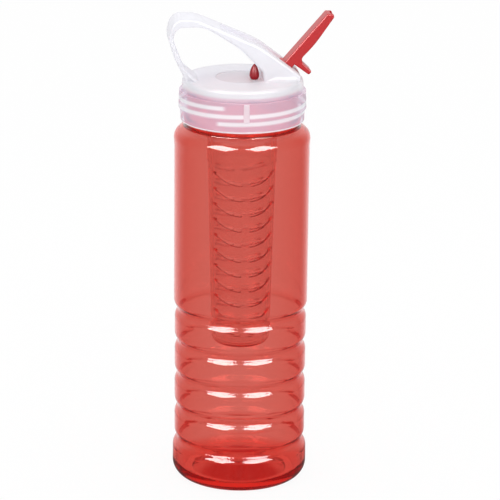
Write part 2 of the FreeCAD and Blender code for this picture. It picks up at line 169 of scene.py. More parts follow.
def rounded_prism(outline: np.ndarray, half_width: Any, edge: Any = 0.0, steps: int = 5) -> Surface:
    """A side view carried across the bottle, with quarter-round edges.

    At angle a of the quarter round of radius e, the outline lies e * (1 - cos a) in from the face and
    is drawn in by e * (1 - sin a) along its mitred inward normals.

    Args:
        outline: side-view points, one row each.
        half_width: half the width, for all points or for each.
        edge: radius of the edges, for all points or for each.
        steps: rings in each quarter round.

    Returns:
        The vertices and faces.
    """
    following = np.roll(outline, -1, 0)
    if np.sum(outline[:, 0] * following[:, 1] - following[:, 0] * outline[:, 1]) < 0:
        outline = outline[::-1]
        half_width, edge = (np.flip(v) if np.ndim(v) else v for v in (half_width, edge))
    way = np.roll(outline, -1, 0) - outline
    way /= np.linalg.norm(way, axis=1)[:, None]
    inward = np.stack((-way[:, 1], way[:, 0]), 1)
    before = np.roll(inward, 1, 0)
    mitre = (inward + before) / (1 + np.sum(inward * before, 1))[:, None]
    angles = np.linspace(0, math.pi / 2, steps)
    rings = [(side, angle) for side, run in ((-1, angles), (1, angles[::-1])) for angle in run]
    layers = []
    for side, angle in rings:
        place = outline + mitre * np.broadcast_to(edge * (1 - math.sin(angle)), len(outline))[:, None]
        level = np.broadcast_to(side * (half_width - edge * (1 - math.cos(angle))), len(outline))
        layers.append(np.stack((place[:, 0], level, place[:, 1]), 1))
    return lofted(np.stack(layers))


def turned(profile: np.ndarray, columns: int, swell: Optional[Any] = None) -> Surface:
    """A profile turned about the bottle's axis: (r cos t, r sin t, z), r with an optional swell.

    Args:
        profile: reach and height of each point.
        columns: steps round the axis.
        swell: a function of reach, height and angle grids that returns what to add to the reach.

    Returns:
        The vertices and faces.
    """
    angle = np.linspace(0, 2 * math.pi, columns, endpoint=False)
    reach_grid, angle_grid = np.meshgrid(profile[:, 0], angle, indexing="ij")
    height_grid = np.broadcast_to(profile[:, 1:], reach_grid.shape)
    if swell is not None:
        reach_grid = reach_grid + swell(reach_grid, height_grid, angle_grid)
    points = np.stack((reach_grid * np.cos(angle_grid), reach_grid * np.sin(angle_grid), height_grid), -1)
    return points.reshape(-1, 3), grid_faces(len(profile), columns)


def moved(surface: Surface, shift: tuple[float, float, float]) -> Surface:
    """The same surface at another place."""
    return surface[0] + np.array(shift), surface[1]


def merge(mesh: bpy.types.Mesh) -> None:
    """Merge a closed mesh's doubles and turn its faces outwards.

    Args:
        mesh: the mesh, which is changed.
    """
    work = bmesh.new()
    work.from_mesh(mesh)
    bmesh.ops.remove_doubles(work, verts=work.verts, dist=MERGE)
    if work.calc_volume(signed=True) < 0:
        bmesh.ops.reverse_faces(work, faces=work.faces)
    work.to_mesh(mesh)
    work.free()


def show(name: str, data: Any) -> bpy.types.Object:
    """Put a mesh, lamp or camera into the scene as an object at the origin.

    Args:
        name: the object's name.
        data: what the object holds.

    Returns:
        The object.
    """
    made = bpy.data.objects.new(name, data)
    bpy.context.scene.collection.objects.link(made)
    return made


def solid(name: str, surface: Surface) -> bpy.types.Object:
    """Make a closed mesh object, merged and with its faces outwards.

    Args:
        name: the object's name.
        surface: vertices in millimetres, and faces.

    Returns:
        The object, at the origin.
    """
    mesh = bpy.data.meshes.new(name)
    mesh.from_pydata((surface[0] * MM).tolist(), [], surface[1])
    merge(mesh)
    return show(name, mesh)


def carve(piece: bpy.types.Object, tools: list[tuple[Carve, bpy.types.Object]]) -> None:
    """Add tool bodies to a piece or cut them out of it, in order, and remove them.

    Args:
        piece: the body that is worked on.
        tools: what each tool does, and the tool.
    """
    for action, tool in tools:
        step = piece.modifiers.new(tool.name, "BOOLEAN")
        step.operation, step.solver, step.object = action.value, "EXACT", tool
    shaped = piece.evaluated_get(bpy.context.evaluated_depsgraph_get())
    mesh = bpy.data.meshes.new_from_object(shaped)
    merge(mesh)
    piece.modifiers.clear()
    piece.data = mesh
    for _, tool in tools:
        bpy.data.objects.remove(tool)


def soften(piece: bpy.types.Object, sharp_deg: float = 35.0) -> None:
    """Smooth shading that keeps flat faces flat and true corners sharp.

    Args:
        piece: the object to shade.
        sharp_deg: the turn between two faces past which their edge stays sharp.
    """
    piece.data.shade_smooth()
    piece.data.set_sharp_from_angle(angle=math.radians(sharp_deg))
    weighted = piece.modifiers.new("flat_faces_stay_flat", "WEIGHTED_NORMAL")
    weighted.keep_sharp = True


def linear(hex_colour: str) -> tuple[float, float, float, float]:
    """Turn an sRGB hex colour into linear RGBA.

    Args:
        hex_colour: six hex digits, with or without a leading hash.

    Returns:
        The linear colour with full alpha.
    """
    digits = hex_colour.lstrip("#")
    shares = [int(digits[place:place + 2], 16) / 255 for place in (0, 2, 4)]
    curve = [s / 12.92 if s <= 0.04045 else ((s + 0.055) / 1.055) ** 2.4 for s in shares]
    return (*curve, 1.0)


def add_node(tree: Tree, kind: str, settings: Optional[dict[str, Any]] = None,
             inputs: Optional[dict[Any, Any]] = None) -> bpy.types.Node:
    """Add a node with its settings, socket values and links.

    Args:
        tree: the node tree to add to.
        kind: the node's type name.
        settings: attributes of the node.
        inputs: socket names or places with a value, or with the socket that feeds them.

    Returns:
        The new node.
    """
    made = tree.nodes.new(kind)
    for name, value in (settings or {}).items():
        setattr(made, name, value)
    for place, value in (inputs or {}).items():
        if isinstance(value, Socket):
            tree.links.new(value, made.inputs[place])
        else:
            made.inputs[place].default_value = value
    return made


def new_tree(name: str) -> tuple[bpy.types.Material, Tree]:
    """Make an empty node material.

    Args:
        name: the material's name.

    Returns:
        The material and its node tree.
    """
    material = bpy.data.materials.new(name)
    material.use_nodes = True
    material.node_tree.nodes.clear()
    return material, material.node_tree


def spots_per_metre(size_mm: float) -> float:
    """Scale of a noise pattern whose features are a given number of millimetres across."""
    return 1 / (size_mm * MM)


@dataclass(frozen=True)
class Plastic:
    """A moulded plastic: its colour drift, gloss, wall clarity and surface ripple.

    The colour drifts between two tints over drift_mm; the gloss wanders between two roughnesses
    over grain_mm; the skin carries a ripple of ripple_depth_mm over ripple_mm.
    """

    name: str
    tint: str
    deep_tint: str
    ior: float
    clarity: float
    glossiest: float
    dullest: float
    drift_mm: float = 30.0
    grain_mm: float = 3.0
    ripple_mm: float = 18.0
    ripple_depth_mm: float = 0.02
    wall_tint: str = "#ffffff"
    wall_mm: float = 0.0
    drift_detail: float = 3.0
    grain_detail: float = 4.0
    ripple_detail: float = 1.0

    def colour(self, tree: Tree, place: Socket) -> Socket:
        """Colour that drifts slowly between the two tints.

        Args:
            tree: the material's node tree.
            place: the socket with object coordinates.

        Returns:
            The colour's socket.
        """
        drift = add_node(tree, "ShaderNodeTexNoise", None,
                         {"Vector": place, "Scale": spots_per_metre(self.drift_mm),
                          "Detail": self.drift_detail})
        return add_node(tree, "ShaderNodeMix", {"data_type": "RGBA"},
                        {"Factor": drift.outputs["Fac"], "A": linear(self.tint),
                         "B": linear(self.deep_tint)}).outputs["Result"]

    def veiling(self, tree: Tree, place: Socket) -> Any:
        """How much of what lies behind is hidden: one value all over, or a socket."""
        return 1.0

    def gloss(self, tree: Tree, place: Socket) -> Socket:
        """Roughness that wanders between the glossiest and the dullest.

        Args:
            tree: the material's node tree.
            place: the socket with object coordinates.

        Returns:
            The roughness's socket.
        """
        grain = add_node(tree, "ShaderNodeTexNoise", None,
                         {"Vector": place, "Scale": spots_per_metre(self.grain_mm),
                          "Detail": self.grain_detail})
        return add_node(tree, "ShaderNodeMapRange", None,
                        {"Value": grain.outputs["Fac"], "To Min": self.glossiest,
                         "To Max": self.dullest}).outputs["Result"]

    def build(self) -> bpy.types.Material:
        """Make the node material of this plastic.

        Returns:
            The material.
        """
        material, tree = new_tree(self.name)
        place = add_node(tree, "ShaderNodeTexCoord").outputs["Object"]
        ripple = add_node(tree, "ShaderNodeTexNoise", None,
                          {"Vector": place, "Scale": spots_per_metre(self.ripple_mm),
                           "Detail": self.ripple_detail})
        bump = add_node(tree, "ShaderNodeBump", None,
                        {"Height": ripple.outputs["Fac"], "Distance": self.ripple_depth_mm * MM})
        shader = add_node(tree, "ShaderNodeBsdfPrincipled", None, {
            "Base Color": self.colour(tree, place), "Roughness": self.gloss(tree, place),
            "Normal": bump.outputs["Normal"], "IOR": self.ior,
            "Transmission Weight": self.clarity, "Alpha": self.veiling(tree, place)})
        output = add_node(tree, "ShaderNodeOutputMaterial", None, {"Surface": shader.outputs["BSDF"]})
        if self.wall_mm:
            self.dye(tree, output)
        return material

    def dye(self, tree: Tree, output: bpy.types.Node) -> None:
        """Tint the plastic all through, so that thick walls and slanting views are deeper.

        A wall of wall_mm lets the wall tint through: each colour is taken out at -ln(tint) / wall_mm,
        which is the density times 1 - colour of the absorption.

        Args:
            tree: the material's node tree.
            output: the material's output node.
        """
        taken = [-math.log(share) / (self.wall_mm * MM) for share in linear(self.wall_tint)[:3]]
        density = max(taken)
        colour = [1 - rate / density for rate in taken]
        absorption = add_node(tree, "ShaderNodeVolumeAbsorption", None,
                              {"Color": (*colour, 1.0), "Density": density})
        tree.links.new(absorption.outputs["Volume"], output.inputs["Volume"])


@dataclass(frozen=True)
class MilkyPlastic(Plastic):
    """Milky plastic: each skin hides the share of what lies behind that its mesh notes for that place.

    A wall that hides no more than thin is painted a pale violet up to lilac_below, for the red neck's light
    scattered through it, and is white from white_above; one that hides dense or more is white all over.
    """

    attribute: str = "milkiness"
    painted_neck_tint: str = "#fbe6ff"
    lilac_below: float = 217.0
    white_above: float = 218.6
    thin: float = 0.46
    dense: float = 0.8

    def colour(self, tree: Tree, place: Socket) -> Socket:
        """The plastic's own white, and a painted pale violet on the thin wall round the red neck, for the
        neck's red light scattered through the haze.

        Args:
            tree: the material's node tree.
            place: the socket with object coordinates.

        Returns:
            The colour's socket.
        """
        height = add_node(tree, "ShaderNodeSeparateXYZ", None, {0: place}).outputs["Z"]
        share = add_node(tree, "ShaderNodeMapRange", {"interpolation_type": "SMOOTHSTEP"},
                         {"Value": height, "From Min": self.lilac_below * MM,
                          "From Max": self.white_above * MM})
        dense = add_node(tree, "ShaderNodeMapRange", None,
                         {"Value": self.veiling(tree, place), "From Min": self.thin,
                          "From Max": self.dense})
        white = add_node(tree, "ShaderNodeMath", {"operation": "MAXIMUM"},
                         {0: share.outputs["Result"], 1: dense.outputs["Result"]}).outputs[0]
        # Painted light: the neck's red shows partly through the veil and partly as this painted pale violet
        return add_node(tree, "ShaderNodeMix", {"data_type": "RGBA"},
                        {"Factor": white, "A": linear(self.painted_neck_tint),
                         "B": super().colour(tree, place)}).outputs["Result"]

    def veiling(self, tree: Tree, place: Socket) -> Any:
        """The share that the mesh notes for each place."""
        return add_node(tree, "ShaderNodeAttribute", {"attribute_name": self.attribute}).outputs["Fac"]


@dataclass(frozen=True)
class CorePlastic(Plastic):
    """Plastic moulded round a satin core: polished outside, and duller on the skin that the core left.

    Faces between slot_low and slot_top take a painted shade, a deeper red, as the upright part of their
    normal goes from level_from to level_full.
    """

    core_low: float = 14.7
    core_slope: float = 0.0237
    core_foot: float = 75.6
    core_dullness: float = 0.18
    slot_low: float = 80.5
    slot_top: float = 176.0
    painted_slot_shade: str = "#b8646c"
    level_from: float = 0.4
    level_full: float = 0.7

    def colour(self, tree: Tree, place: Socket) -> Socket:
        """The plastic's own colour, with a painted shade of deeper red on the slots' level faces, for the
        light that runs along the wall and is lost there.

        Args:
            tree: the material's node tree.
            place: the socket with object coordinates.

        Returns:
            The colour's socket.
        """
        face = add_node(tree, "ShaderNodeNewGeometry").outputs["Normal"]
        slant = add_node(tree, "ShaderNodeSeparateXYZ", None, {0: face}).outputs["Z"]
        level = add_node(tree, "ShaderNodeMath", {"operation": "ABSOLUTE"}, {0: slant}).outputs[0]
        height = add_node(tree, "ShaderNodeSeparateXYZ", None, {0: place}).outputs["Z"]
        slot = add_node(tree, "ShaderNodeMath", {"operation": "COMPARE"},
                        {0: height, 1: (self.slot_low + self.slot_top) / 2 * MM,
                         2: (self.slot_top - self.slot_low) / 2 * MM}).outputs[0]
        edge = add_node(tree, "ShaderNodeMapRange", None,
                        {"Value": level, "From Min": self.level_from, "From Max": self.level_full})
        share = add_node(tree, "ShaderNodeMath", {"operation": "MULTIPLY"},
                         {0: edge.outputs["Result"], 1: slot}).outputs[0]
        # Painted shade: the slots' level faces are mixed towards a deeper red
        both = add_node(tree, "ShaderNodeMix", {"data_type": "RGBA"},
                        {"Factor": share, "A": super().colour(tree, place), "B": linear(self.painted_slot_shade)})
        return both.outputs["Result"]

    def gloss(self, tree: Tree, place: Socket) -> Socket:
        """Roughness of the outside, or of the core side within the middle of the tapered wall.

        The wall's middle lies at core_low + core_slope * (height - core_foot) from the axis.

        Args:
            tree: the material's node tree.
            place: the socket with object coordinates.

        Returns:
            The roughness's socket.
        """
        axis = add_node(tree, "ShaderNodeSeparateXYZ", None, {0: place}).outputs
        flat = add_node(tree, "ShaderNodeCombineXYZ", None, {0: axis["X"], 1: axis["Y"]})
        reach = add_node(tree, "ShaderNodeVectorMath", {"operation": "LENGTH"}, {0: flat.outputs[0]})
        middle = add_node(tree, "ShaderNodeMath", {"operation": "MULTIPLY_ADD"},
                          {0: axis["Z"], 1: self.core_slope,
                           2: (self.core_low - self.core_slope * self.core_foot) * MM})
        within = add_node(tree, "ShaderNodeMath", {"operation": "LESS_THAN"},
                          {0: reach.outputs["Value"], 1: middle.outputs[0]})
        core = add_node(tree, "ShaderNodeMath", {"operation": "MULTIPLY"},
                        {0: within.outputs[0], 1: self.core_dullness})
        return add_node(tree, "ShaderNodeMath", {"operation": "MAXIMUM"},
                        {0: super().gloss(tree, place), 1: core.outputs[0]}).outputs[0]


# Blow-moulded copolyester: clear and glossy, dyed red in the melt, so the thick base and neck are deepest
BODY_PLASTIC = Plastic("clear_red_copolyester_blown", "#ecebeb", "#e8e6e6", 1.5, 1.0, 0.0, 0.03,
                       ripple_depth_mm=0.006, wall_tint="#fdb5ac", wall_mm=1.5)
# Injection-moulded copolyester: a much paler red, clear outside and satin where the core was, with painted
# shade on the slots' level faces
BASKET_PLASTIC = CorePlastic("clear_red_copolyester_moulded", "#fefdfd", "#fcfafa", 1.42, 1.0, 0.02, 0.05,
                             wall_tint="#fff4f2", wall_mm=2.0)
# Natural polypropylene: milky and satin, so that what lies behind it shows as a soft tint, helped round the
# red neck by a painted pale violet
LID_PLASTIC = MilkyPlastic("natural_polypropylene_satin", "#fafaff", "#f6f5fc", 1.49, 0.0, 0.42, 0.5)
# Polypropylene coloured right through: deep red with a moulded gloss
SPOUT_PLASTIC = Plastic("red_polypropylene_glossy", "#cb161c", "#c31319", 1.49, 0.0, 0.3, 0.36)
# Silicone rubber: opaque and satin, with a soft, broad highlight
RED_SILICONE = Plastic("red_silicone_moulded", "#aa131f", "#a2101c", 1.33, 0.0, 0.3, 0.42)
WHITE_SILICONE = Plastic("white_silicone_moulded", "#e9e9ea", "#e4e4e6", 1.41, 0.0, 0.4, 0.5)


@dataclass
class DressedNode:
    """A CAD node that is shown as it is, under its own finish."""

    node: str
    finish: Plastic

    def dress(self, nodes: dict[str, bpy.types.Object]) -> bpy.types.Object:
        """Give the node its material.

        Args:
            nodes: the CAD nodes by name.

        Returns:
            The node's object.
        """
        shown = nodes[self.node]
        shown.data.materials.clear()
        shown.data.materials.append(self.finish.build())
        log.info("dressed %s in %s", self.node, self.finish.name)
        return shown


@dataclass
class NewPiece:
    """A mesh that stands for a CAD node."""

    name: str
    node: str
    body: Body
    slot: str
    finish: Plastic

    def settle(self, made: bpy.types.Object) -> bpy.types.Object:
        """Finish a built mesh: shading, material, the body it rides on and the node it stands for.

        Args:
            made: the built object.

        Returns:
            The same object.
        """
        soften(made)
        made.data.materials.clear()
        made.data.materials.append(self.finish.build())
        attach(made, self.body.value)
        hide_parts(self.node)
        log.info("built %s: %d faces", self.name, len(made.data.polygons))
        return made


@dataclass
class Spout(NewPiece):
    """Flip spout, in side view along its own axis, which leans from the pivot."""

    pivot: tuple[float, float] = (20.9, 226.9)
    lean_deg: float = 49.1
    swing_deg: float = 94.0
    width: float = 10.5
    back: float = 2.15
    stem_front: float = 2.75
    tip: float = 39.5
    barrel: float = 4.0
    trunnion: float = 1.6
    trunnion_length: float = 3.0
    edge: float = 0.75
    bore_width: float = 6.4
    bore_thickness: float = 2.2
    tip_offset: float = 0.4
    port: float = 2.0
    overrun: float = 2.0
    lap: float = 0.02
    round_steps: int = 48
    lever: float = 12.25
    nose: float = 0.9

    def side_view(self) -> list[Corner]:
        """Outline along the spout: the stem's front, the thumb lever, the bulged mouthpiece, the back."""
        return [
            (0.0, -self.stem_front, 0.0), (5.9, -self.stem_front, 0.0), (6.7, -self.lever, self.nose),
            (9.05, -self.lever, self.nose), (9.5, -3.3, 2.8), (21.0, -3.8, 60.0), (38.4, -1.9, self.nose),
            (self.tip, -self.tip_offset, self.nose), (37.4, self.back, self.nose), (0.0, self.back, 0.0)]

    def placed(self, corners: list[Corner], turn_deg: float = 0.0) -> list[Corner]:
        """Turn corners given along and across the spout into the bottle's side view.

        Args:
            corners: distance along the spout, offset towards its back, and blend.
            turn_deg: how far the spout is folded back.

        Returns:
            The corners as reach, height and blend.
        """
        lean = math.radians(self.lean_deg + turn_deg)
        return [(self.pivot[0] + along * math.cos(lean) - across * math.sin(lean),
                 self.pivot[1] + along * math.sin(lean) + across * math.cos(lean), blend)
                for along, across, blend in corners]

    def block(self, name: str, near: float, far: float, front: float, back: float, width: float,
              turn_deg: float = 0.0) -> bpy.types.Object:
        """A plain box between two distances along the spout and two offsets across it."""
        corners = [(near, -front, 0.0), (far, -front, 0.0), (far, back, 0.0), (near, back, 0.0)]
        return solid(name, rounded_prism(rounded(self.placed(corners, turn_deg)), width / 2))

    def roller(self, name: str, radius: float, length: float) -> bpy.types.Object:
        """A cylinder across the bottle about the pivot: centre + radius * (cos a, sin a).

        Args:
            name: the object's name.
            radius: the cylinder's radius.
            length: its length across the bottle.

        Returns:
            The cylinder as a body.
        """
        angles = np.linspace(0, 2 * math.pi, self.round_steps, endpoint=False)
        circle = np.array(self.pivot) + radius * np.stack((np.cos(angles), np.sin(angles)), 1)
        return solid(name, rounded_prism(circle, length / 2))

    def well(self, name: str, radius: float, low: float, high: float) -> bpy.types.Object:
        """An upright cylinder under the pivot."""
        profile = np.array([(0.0, low), (radius, low), (radius, high), (0.0, high)])
        return solid(name, moved(turned(profile, self.round_steps), (self.pivot[0], 0.0, 0.0)))

    def build(self) -> bpy.types.Object:
        """Mouthpiece with its thumb lever, barrel and trunnions, bored for the drink.

        Returns:
            The finished spout.
        """
        outline = rounded(self.placed(self.side_view()))
        made = solid(self.name, rounded_prism(outline, self.width / 2, self.edge))
        half = self.bore_thickness / 2
        carve(made, [
            (Carve.ADD, self.roller("barrel", self.barrel, self.width - 2 * self.lap)),
            (Carve.ADD, self.roller("trunnions", self.trunnion, self.width + 2 * self.trunnion_length)),
            (Carve.CUT, self.block("mouth_bore", -half, self.tip + self.overrun, half + self.tip_offset,
                                   half - self.tip_offset, self.bore_width)),
            (Carve.CUT, self.well("port", self.port, self.pivot[1] - self.barrel - self.overrun,
                                  self.pivot[1]))])
        return self.settle(made)


@dataclass
class VentValve(NewPiece):
    """Silicone air valve: a drop-shaped pull above the lid, a stem, a flange and a bill below."""

    place: tuple[float, float] = (5.7, -4.2)
    bulb: float = 2.55
    foot: float = 1.5
    floor: float = 222.0
    tip: float = 230.6
    tip_round: float = 0.35
    stem: float = 1.4
    ceiling: float = 220.4
    flange: float = 3.4
    flange_low: float = 219.5
    bill_end: float = 215.0
    bill: float = 0.6
    belly_steps: int = 14
    side_steps: int = 28
    columns: int = 64

    def drop(self) -> np.ndarray:
        """Profile of the pull: a round belly, then an arc from its widest point up to the tip.

        With rise h from the widest point (radius b) to the tip, the side's radius is (h * h + b * b) / 2b,
        and its last stretch is rounded off by drawing it in as a small cap.

        Returns:
            Reach and height of each point.
        """
        middle = self.floor + math.sqrt(self.bulb ** 2 - self.foot ** 2)
        tuck = math.acos(self.foot / self.bulb)
        low = np.linspace(-tuck, 0, self.belly_steps)
        belly = np.stack((self.bulb * np.cos(low), middle + self.bulb * np.sin(low)), 1)
        rise = self.tip - middle
        radius = (rise ** 2 + self.bulb ** 2) / (2 * self.bulb)
        sweep = np.linspace(0, math.asin(rise / radius), self.side_steps)[1:]
        side = np.stack((self.bulb - radius + radius * np.cos(sweep), middle + radius * np.sin(sweep)), 1)
        side[:, 1] -= self.tip_round * np.exp(-side[:, 0] / self.tip_round)
        side[-1, 0] = 0.0
        return np.concatenate((belly, side))

    def build(self) -> bpy.types.Object:
        """Turn the valve's profile about its own axis.

        Returns:
            The finished valve.
        """
        below = np.array([(0.0, self.bill_end), (self.bill, self.bill_end), (self.stem, self.flange_low),
                          (self.flange, self.flange_low), (self.flange, self.ceiling),
                          (self.stem, self.ceiling), (self.stem, self.floor)])
        profile = np.concatenate((below, self.drop()))
        return self.settle(solid(self.name, moved(turned(profile, self.columns), (*self.place, 0.0))))


@dataclass
class Lid(NewPiece):
    """Screw cap, carrying loop and spout hood in one moulding."""

    finish: MilkyPlastic
    lip: float = 199.5
    lip_reach: float = 32.75
    lip_blend: float = 0.7
    skirt_reach: float = 33.0
    band_low: float = 206.4
    band_top: float = 216.0
    band_low_reach: float = 33.85
    band_top_reach: float = 33.55
    band_blend: float = 0.6
    dome_low_reach: float = 32.4
    dome_top_reach: float = 31.8
    dome_blend: float = 2.2
    top: float = 222.4
    ceiling: float = 220.4
    disc_reach: float = 14.5
    disc_floor: float = 222.0
    disc_blend: float = 0.15
    bore: float = 31.5
    seal_reach: float = 26.4
    seal_face: float = 219.0
    thread_pitch: float = 4.2
    thread_low: float = 204.3
    thread_turns: float = 2.03
    thread_start_deg: float = 239.0
    thread_crest: float = 30.35
    thread_root: float = 2.0
    thread_flat: float = 0.9
    thread_end_deg: float = 4.0
    thread_row: float = 0.22
    columns: int = 240
    loop_edge: float = 1.5
    arm_edge: float = 0.9
    arm_end: float = -36.0
    crest: float = -25.0
    foot_half_width: float = 7.0
    crest_half_width: float = 10.5
    hood_half_width: float = 12.5
    bow_height: float = 245.0
    loop_foot: float = 221.2
    loop_under: float = 251.1
    loop_top: float = 255.5
    knee: float = 7.6
    hood_round: float = 31.5
    hood_start: float = 10.3
    hood_fillet: float = 3.0
    hood_fillet_run: float = 6.0
    fillet_sink: float = 0.9
    fillet_round: float = 31.0
    fillet_least: float = 0.1
    fillet_lap: float = 0.02
    fillet_steps: int = 12
    fillet_rows: int = 72
    inner_veil: float = 0.12
    wall_veil: float = 0.46
    wall_top: float = 218.2
    ridge_veil: float = 0.88
    veil_root: float = 3.0
    veil_flat: float = 1.3
    mark_veil: float = 0.72
    lip_veil: float = 0.9
    top_veil: float = 0.82
    disc_veil: float = 0.7
    loop_veil: float = 0.74
    hood_veil: float = 0.82
    skin: float = 0.1
    lip_rim: float = 0.9
    mark_half_width: float = 1.6
    mark_low: float = 205.6
    mark_top: float = 215.6
    mark_proud: float = 0.45
    mark_edge: float = 0.4
    mark_turn_deg: float = -2.0
    swing_clearance: float = 0.4
    side_clearance: float = 0.5
    trunnion_clearance: float = 0.05
    seat: float = 3.4
    seat_depth: float = 1.0
    vent_hole: float = 1.45
    overrun: float = 2.0

    def loop_view(self) -> list[Corner]:
        """Outline of loop and hood: outside from the foot over the bow to the rim, and back inside."""
        return [
            (-30.4, self.loop_foot, 0.0), (-36.9, 234.7, 20.0), (-40.0, self.bow_height, 9.0),
            (-37.4, self.loop_top, 7.5), (self.crest, self.loop_top, 18.0), (self.knee, 241.2, 40.0),
            (31.6, 225.0, 0.0), (31.6, self.loop_foot, 0.0), (10.1, self.loop_foot, 0.0), (9.4, 227.4, 4.0),
            (-2.6, 239.8, 30.0), (-21.0, self.loop_under, 16.0), (-35.2, self.loop_under, 5.0),
            (-37.8, self.bow_height, 6.8), (-31.7, 229.0, 9.0), (-22.7, self.loop_foot, 0.0)]

    def ridge(self, height: np.ndarray, angle: np.ndarray, root: float, flat: float) -> np.ndarray:
        """Screw ridge as a share of its full height: a trapezium that climbs one pitch per turn.

        At each angle the ridge's middle is low + pitch * (turn so far); the ridge is full where the height
        is within half its flat of that middle and gone at half its root, and it runs out at its ends.

        Args:
            height: heights of the places.
            angle: their angles about the axis.
            root: width of the ridge's foot.
            flat: width of its crest.

        Returns:
            The share at each place.
        """
        turn = ((angle - math.radians(self.thread_start_deg)) / (2 * math.pi)) % 1
        share = np.zeros_like(turn)
        for lap in range(math.ceil(self.thread_turns) + 1):
            so_far = turn + lap
            away = np.abs(height - self.thread_low - self.thread_pitch * so_far)
            full = np.clip((root / 2 - away) / (root - flat) * 2, 0, 1)
            from_end = np.minimum(so_far, self.thread_turns - so_far) * 360 / self.thread_end_deg
            share = np.maximum(share, full * np.clip(from_end, 0, 1))
        return share

    def thread(self, reach_grid: np.ndarray, height: np.ndarray, angle: np.ndarray) -> np.ndarray:
        """What the screw ridge adds to the reach: its share of the step from the bore to its crest.

        Args:
            reach_grid: reaches of the places.
            height: their heights.
            angle: their angles about the axis.

        Returns:
            What to add at each place, and nothing outside the bore.
        """
        in_bore = (np.abs(reach_grid - self.bore) < MERGE) & (height > self.lip) & (height < self.seal_face)
        share = self.ridge(height, angle, self.thread_root, self.thread_flat)
        return share * in_bore * (self.thread_crest - self.bore)

    def cap(self) -> bpy.types.Object:
        """Cap turned from its profile, with rows close enough in the bore to carry the thread.

        Returns:
            The cap as a body.
        """
        outside = rounded([
            (self.bore, self.lip, 0.0), (self.lip_reach, self.lip, self.lip_blend),
            (self.skirt_reach, self.band_low, 0.0), (self.band_low_reach, self.band_low, self.band_blend),
            (self.band_top_reach, self.band_top, self.band_blend),
            (self.dome_low_reach, self.band_top, 0.0), (self.dome_top_reach, self.top, self.dome_blend),
            (self.disc_reach, self.top, self.disc_blend),
            (self.disc_reach, self.disc_floor, self.disc_blend), (0.0, self.disc_floor, 0.0)], closed=False)
        outside = filled(outside, self.thread_row, self.band_top)
        rows = math.ceil((self.seal_face - self.lip) / self.thread_row)
        heights = np.linspace(self.seal_face, self.lip, rows)[:-1]
        bore = np.stack((np.full_like(heights, self.bore), heights), 1)
        ceiling = np.array([(0.0, self.ceiling), (self.seal_reach, self.ceiling),
                            (self.seal_reach, self.seal_face)])
        return solid(self.name, turned(np.concatenate((ceiling, bore, outside)), self.columns, self.thread))

    def loop(self) -> bpy.types.Object:
        """Carrying loop and hood: a rounded prism, narrow at its foot, held within the round of the lid.

        Returns:
            The loop and hood as a body.
        """
        outline = rounded(self.loop_view())
        across, height = outline.T
        arm = np.interp(height, (self.ceiling, self.bow_height),
                        (self.foot_half_width, self.crest_half_width))
        strap = np.interp(across, (self.crest, self.knee), (self.crest_half_width, self.hood_half_width))
        half_width = np.where(across < self.crest, arm, strap)
        edge = np.interp(across, (self.arm_end, self.crest), (self.arm_edge, self.loop_edge))
        return solid("loop", self.held(rounded_prism(outline, half_width, edge)))

    def held(self, surface: Surface) -> Surface:
        """Draw what stands out past the round of the lid, on the spout's side, straight back to it.

        A point at depth y may reach no further than sqrt(hood_round * hood_round - y * y).

        Args:
            surface: vertices and faces.

        Returns:
            The vertices, drawn back, and the same faces.
        """
        points = surface[0]
        room = np.sqrt(self.hood_round ** 2 - points[:, 1] ** 2)
        return np.column_stack((np.minimum(points[:, 0], room), points[:, 1:])), surface[1]

    def fillet(self, side: int) -> bpy.types.Object:
        """Hollow fillet where the hood's flank meets the lid's top.

        Each section is a quarter circle of radius f about (flank + f, top + f), closed inside the hood;
        f grows smoothly over the fillet's run, and shrinks where the lid's rim leaves less room.

        Args:
            side: -1 for the near flank, 1 for the far one.

        Returns:
            The fillet as a body.
        """
        last = math.sqrt(self.fillet_round ** 2 - (self.hood_half_width + self.fillet_least) ** 2)
        along = np.linspace(self.hood_start, last, self.fillet_rows)[:, None]
        grown = np.clip((along - self.hood_start) / self.hood_fillet_run, 0, 1)
        flank, foot = self.hood_half_width - self.fillet_lap, self.top - self.fillet_lap
        room = np.sqrt(self.fillet_round ** 2 - along ** 2) - flank
        radius = np.clip(self.hood_fillet * grown ** 2 * (3 - 2 * grown), self.fillet_least, room)
        angle = np.linspace(math.pi, math.pi * 1.5, self.fillet_steps)
        within = np.full_like(radius, flank - self.fillet_sink)
        below = np.full_like(radius, self.top - self.fillet_sink)
        out = np.concatenate((flank + radius * (1 + np.cos(angle)), flank + radius, within, within), 1)
        rise = np.concatenate((foot + radius * (1 + np.sin(angle)), below, below, foot + radius), 1)
        sections = np.stack((np.broadcast_to(along, out.shape), side * out, rise), -1)
        return solid("hood_fillet", lofted(sections))

    def milkiness(self, mesh: bpy.types.Mesh) -> None:
        """Note at each point how much the plastic there hides.

        The wall hides more where the screw ridge behind it makes it thick, the top plate and the hood more
        than the thin loop, and the inner skin little.

        Args:
            mesh: the finished lid.
        """
        places = np.empty(len(mesh.vertices) * 3)
        mesh.vertices.foreach_get("co", places)
        across, depth, height = places.reshape(-1, 3).T / MM
        distance = np.hypot(across, depth)
        ridge = self.ridge(height, np.arctan2(depth, across), self.veil_root, self.veil_flat)
        loop = np.interp(across, (self.crest, self.knee), (self.loop_veil, self.hood_veil))
        inside = (distance < self.bore + self.skin) & (height < self.ceiling + self.skin)
        marked = distance > self.band_low_reach + self.skin
        plate = np.where(distance < self.disc_reach, self.disc_veil, self.top_veil)
        veil = np.select(
            [inside, height < self.lip + self.lip_rim, marked & (height <= self.band_top),
             height <= self.wall_top, height < self.top + self.lip_rim],
            [self.inner_veil, self.lip_veil, self.mark_veil,
             self.wall_veil + ridge * (self.ridge_veil - self.wall_veil), plate], loop)
        noted = mesh.attributes.new(self.finish.attribute, "FLOAT", "POINT")
        noted.data.foreach_set("value", veil.astype(np.float32))

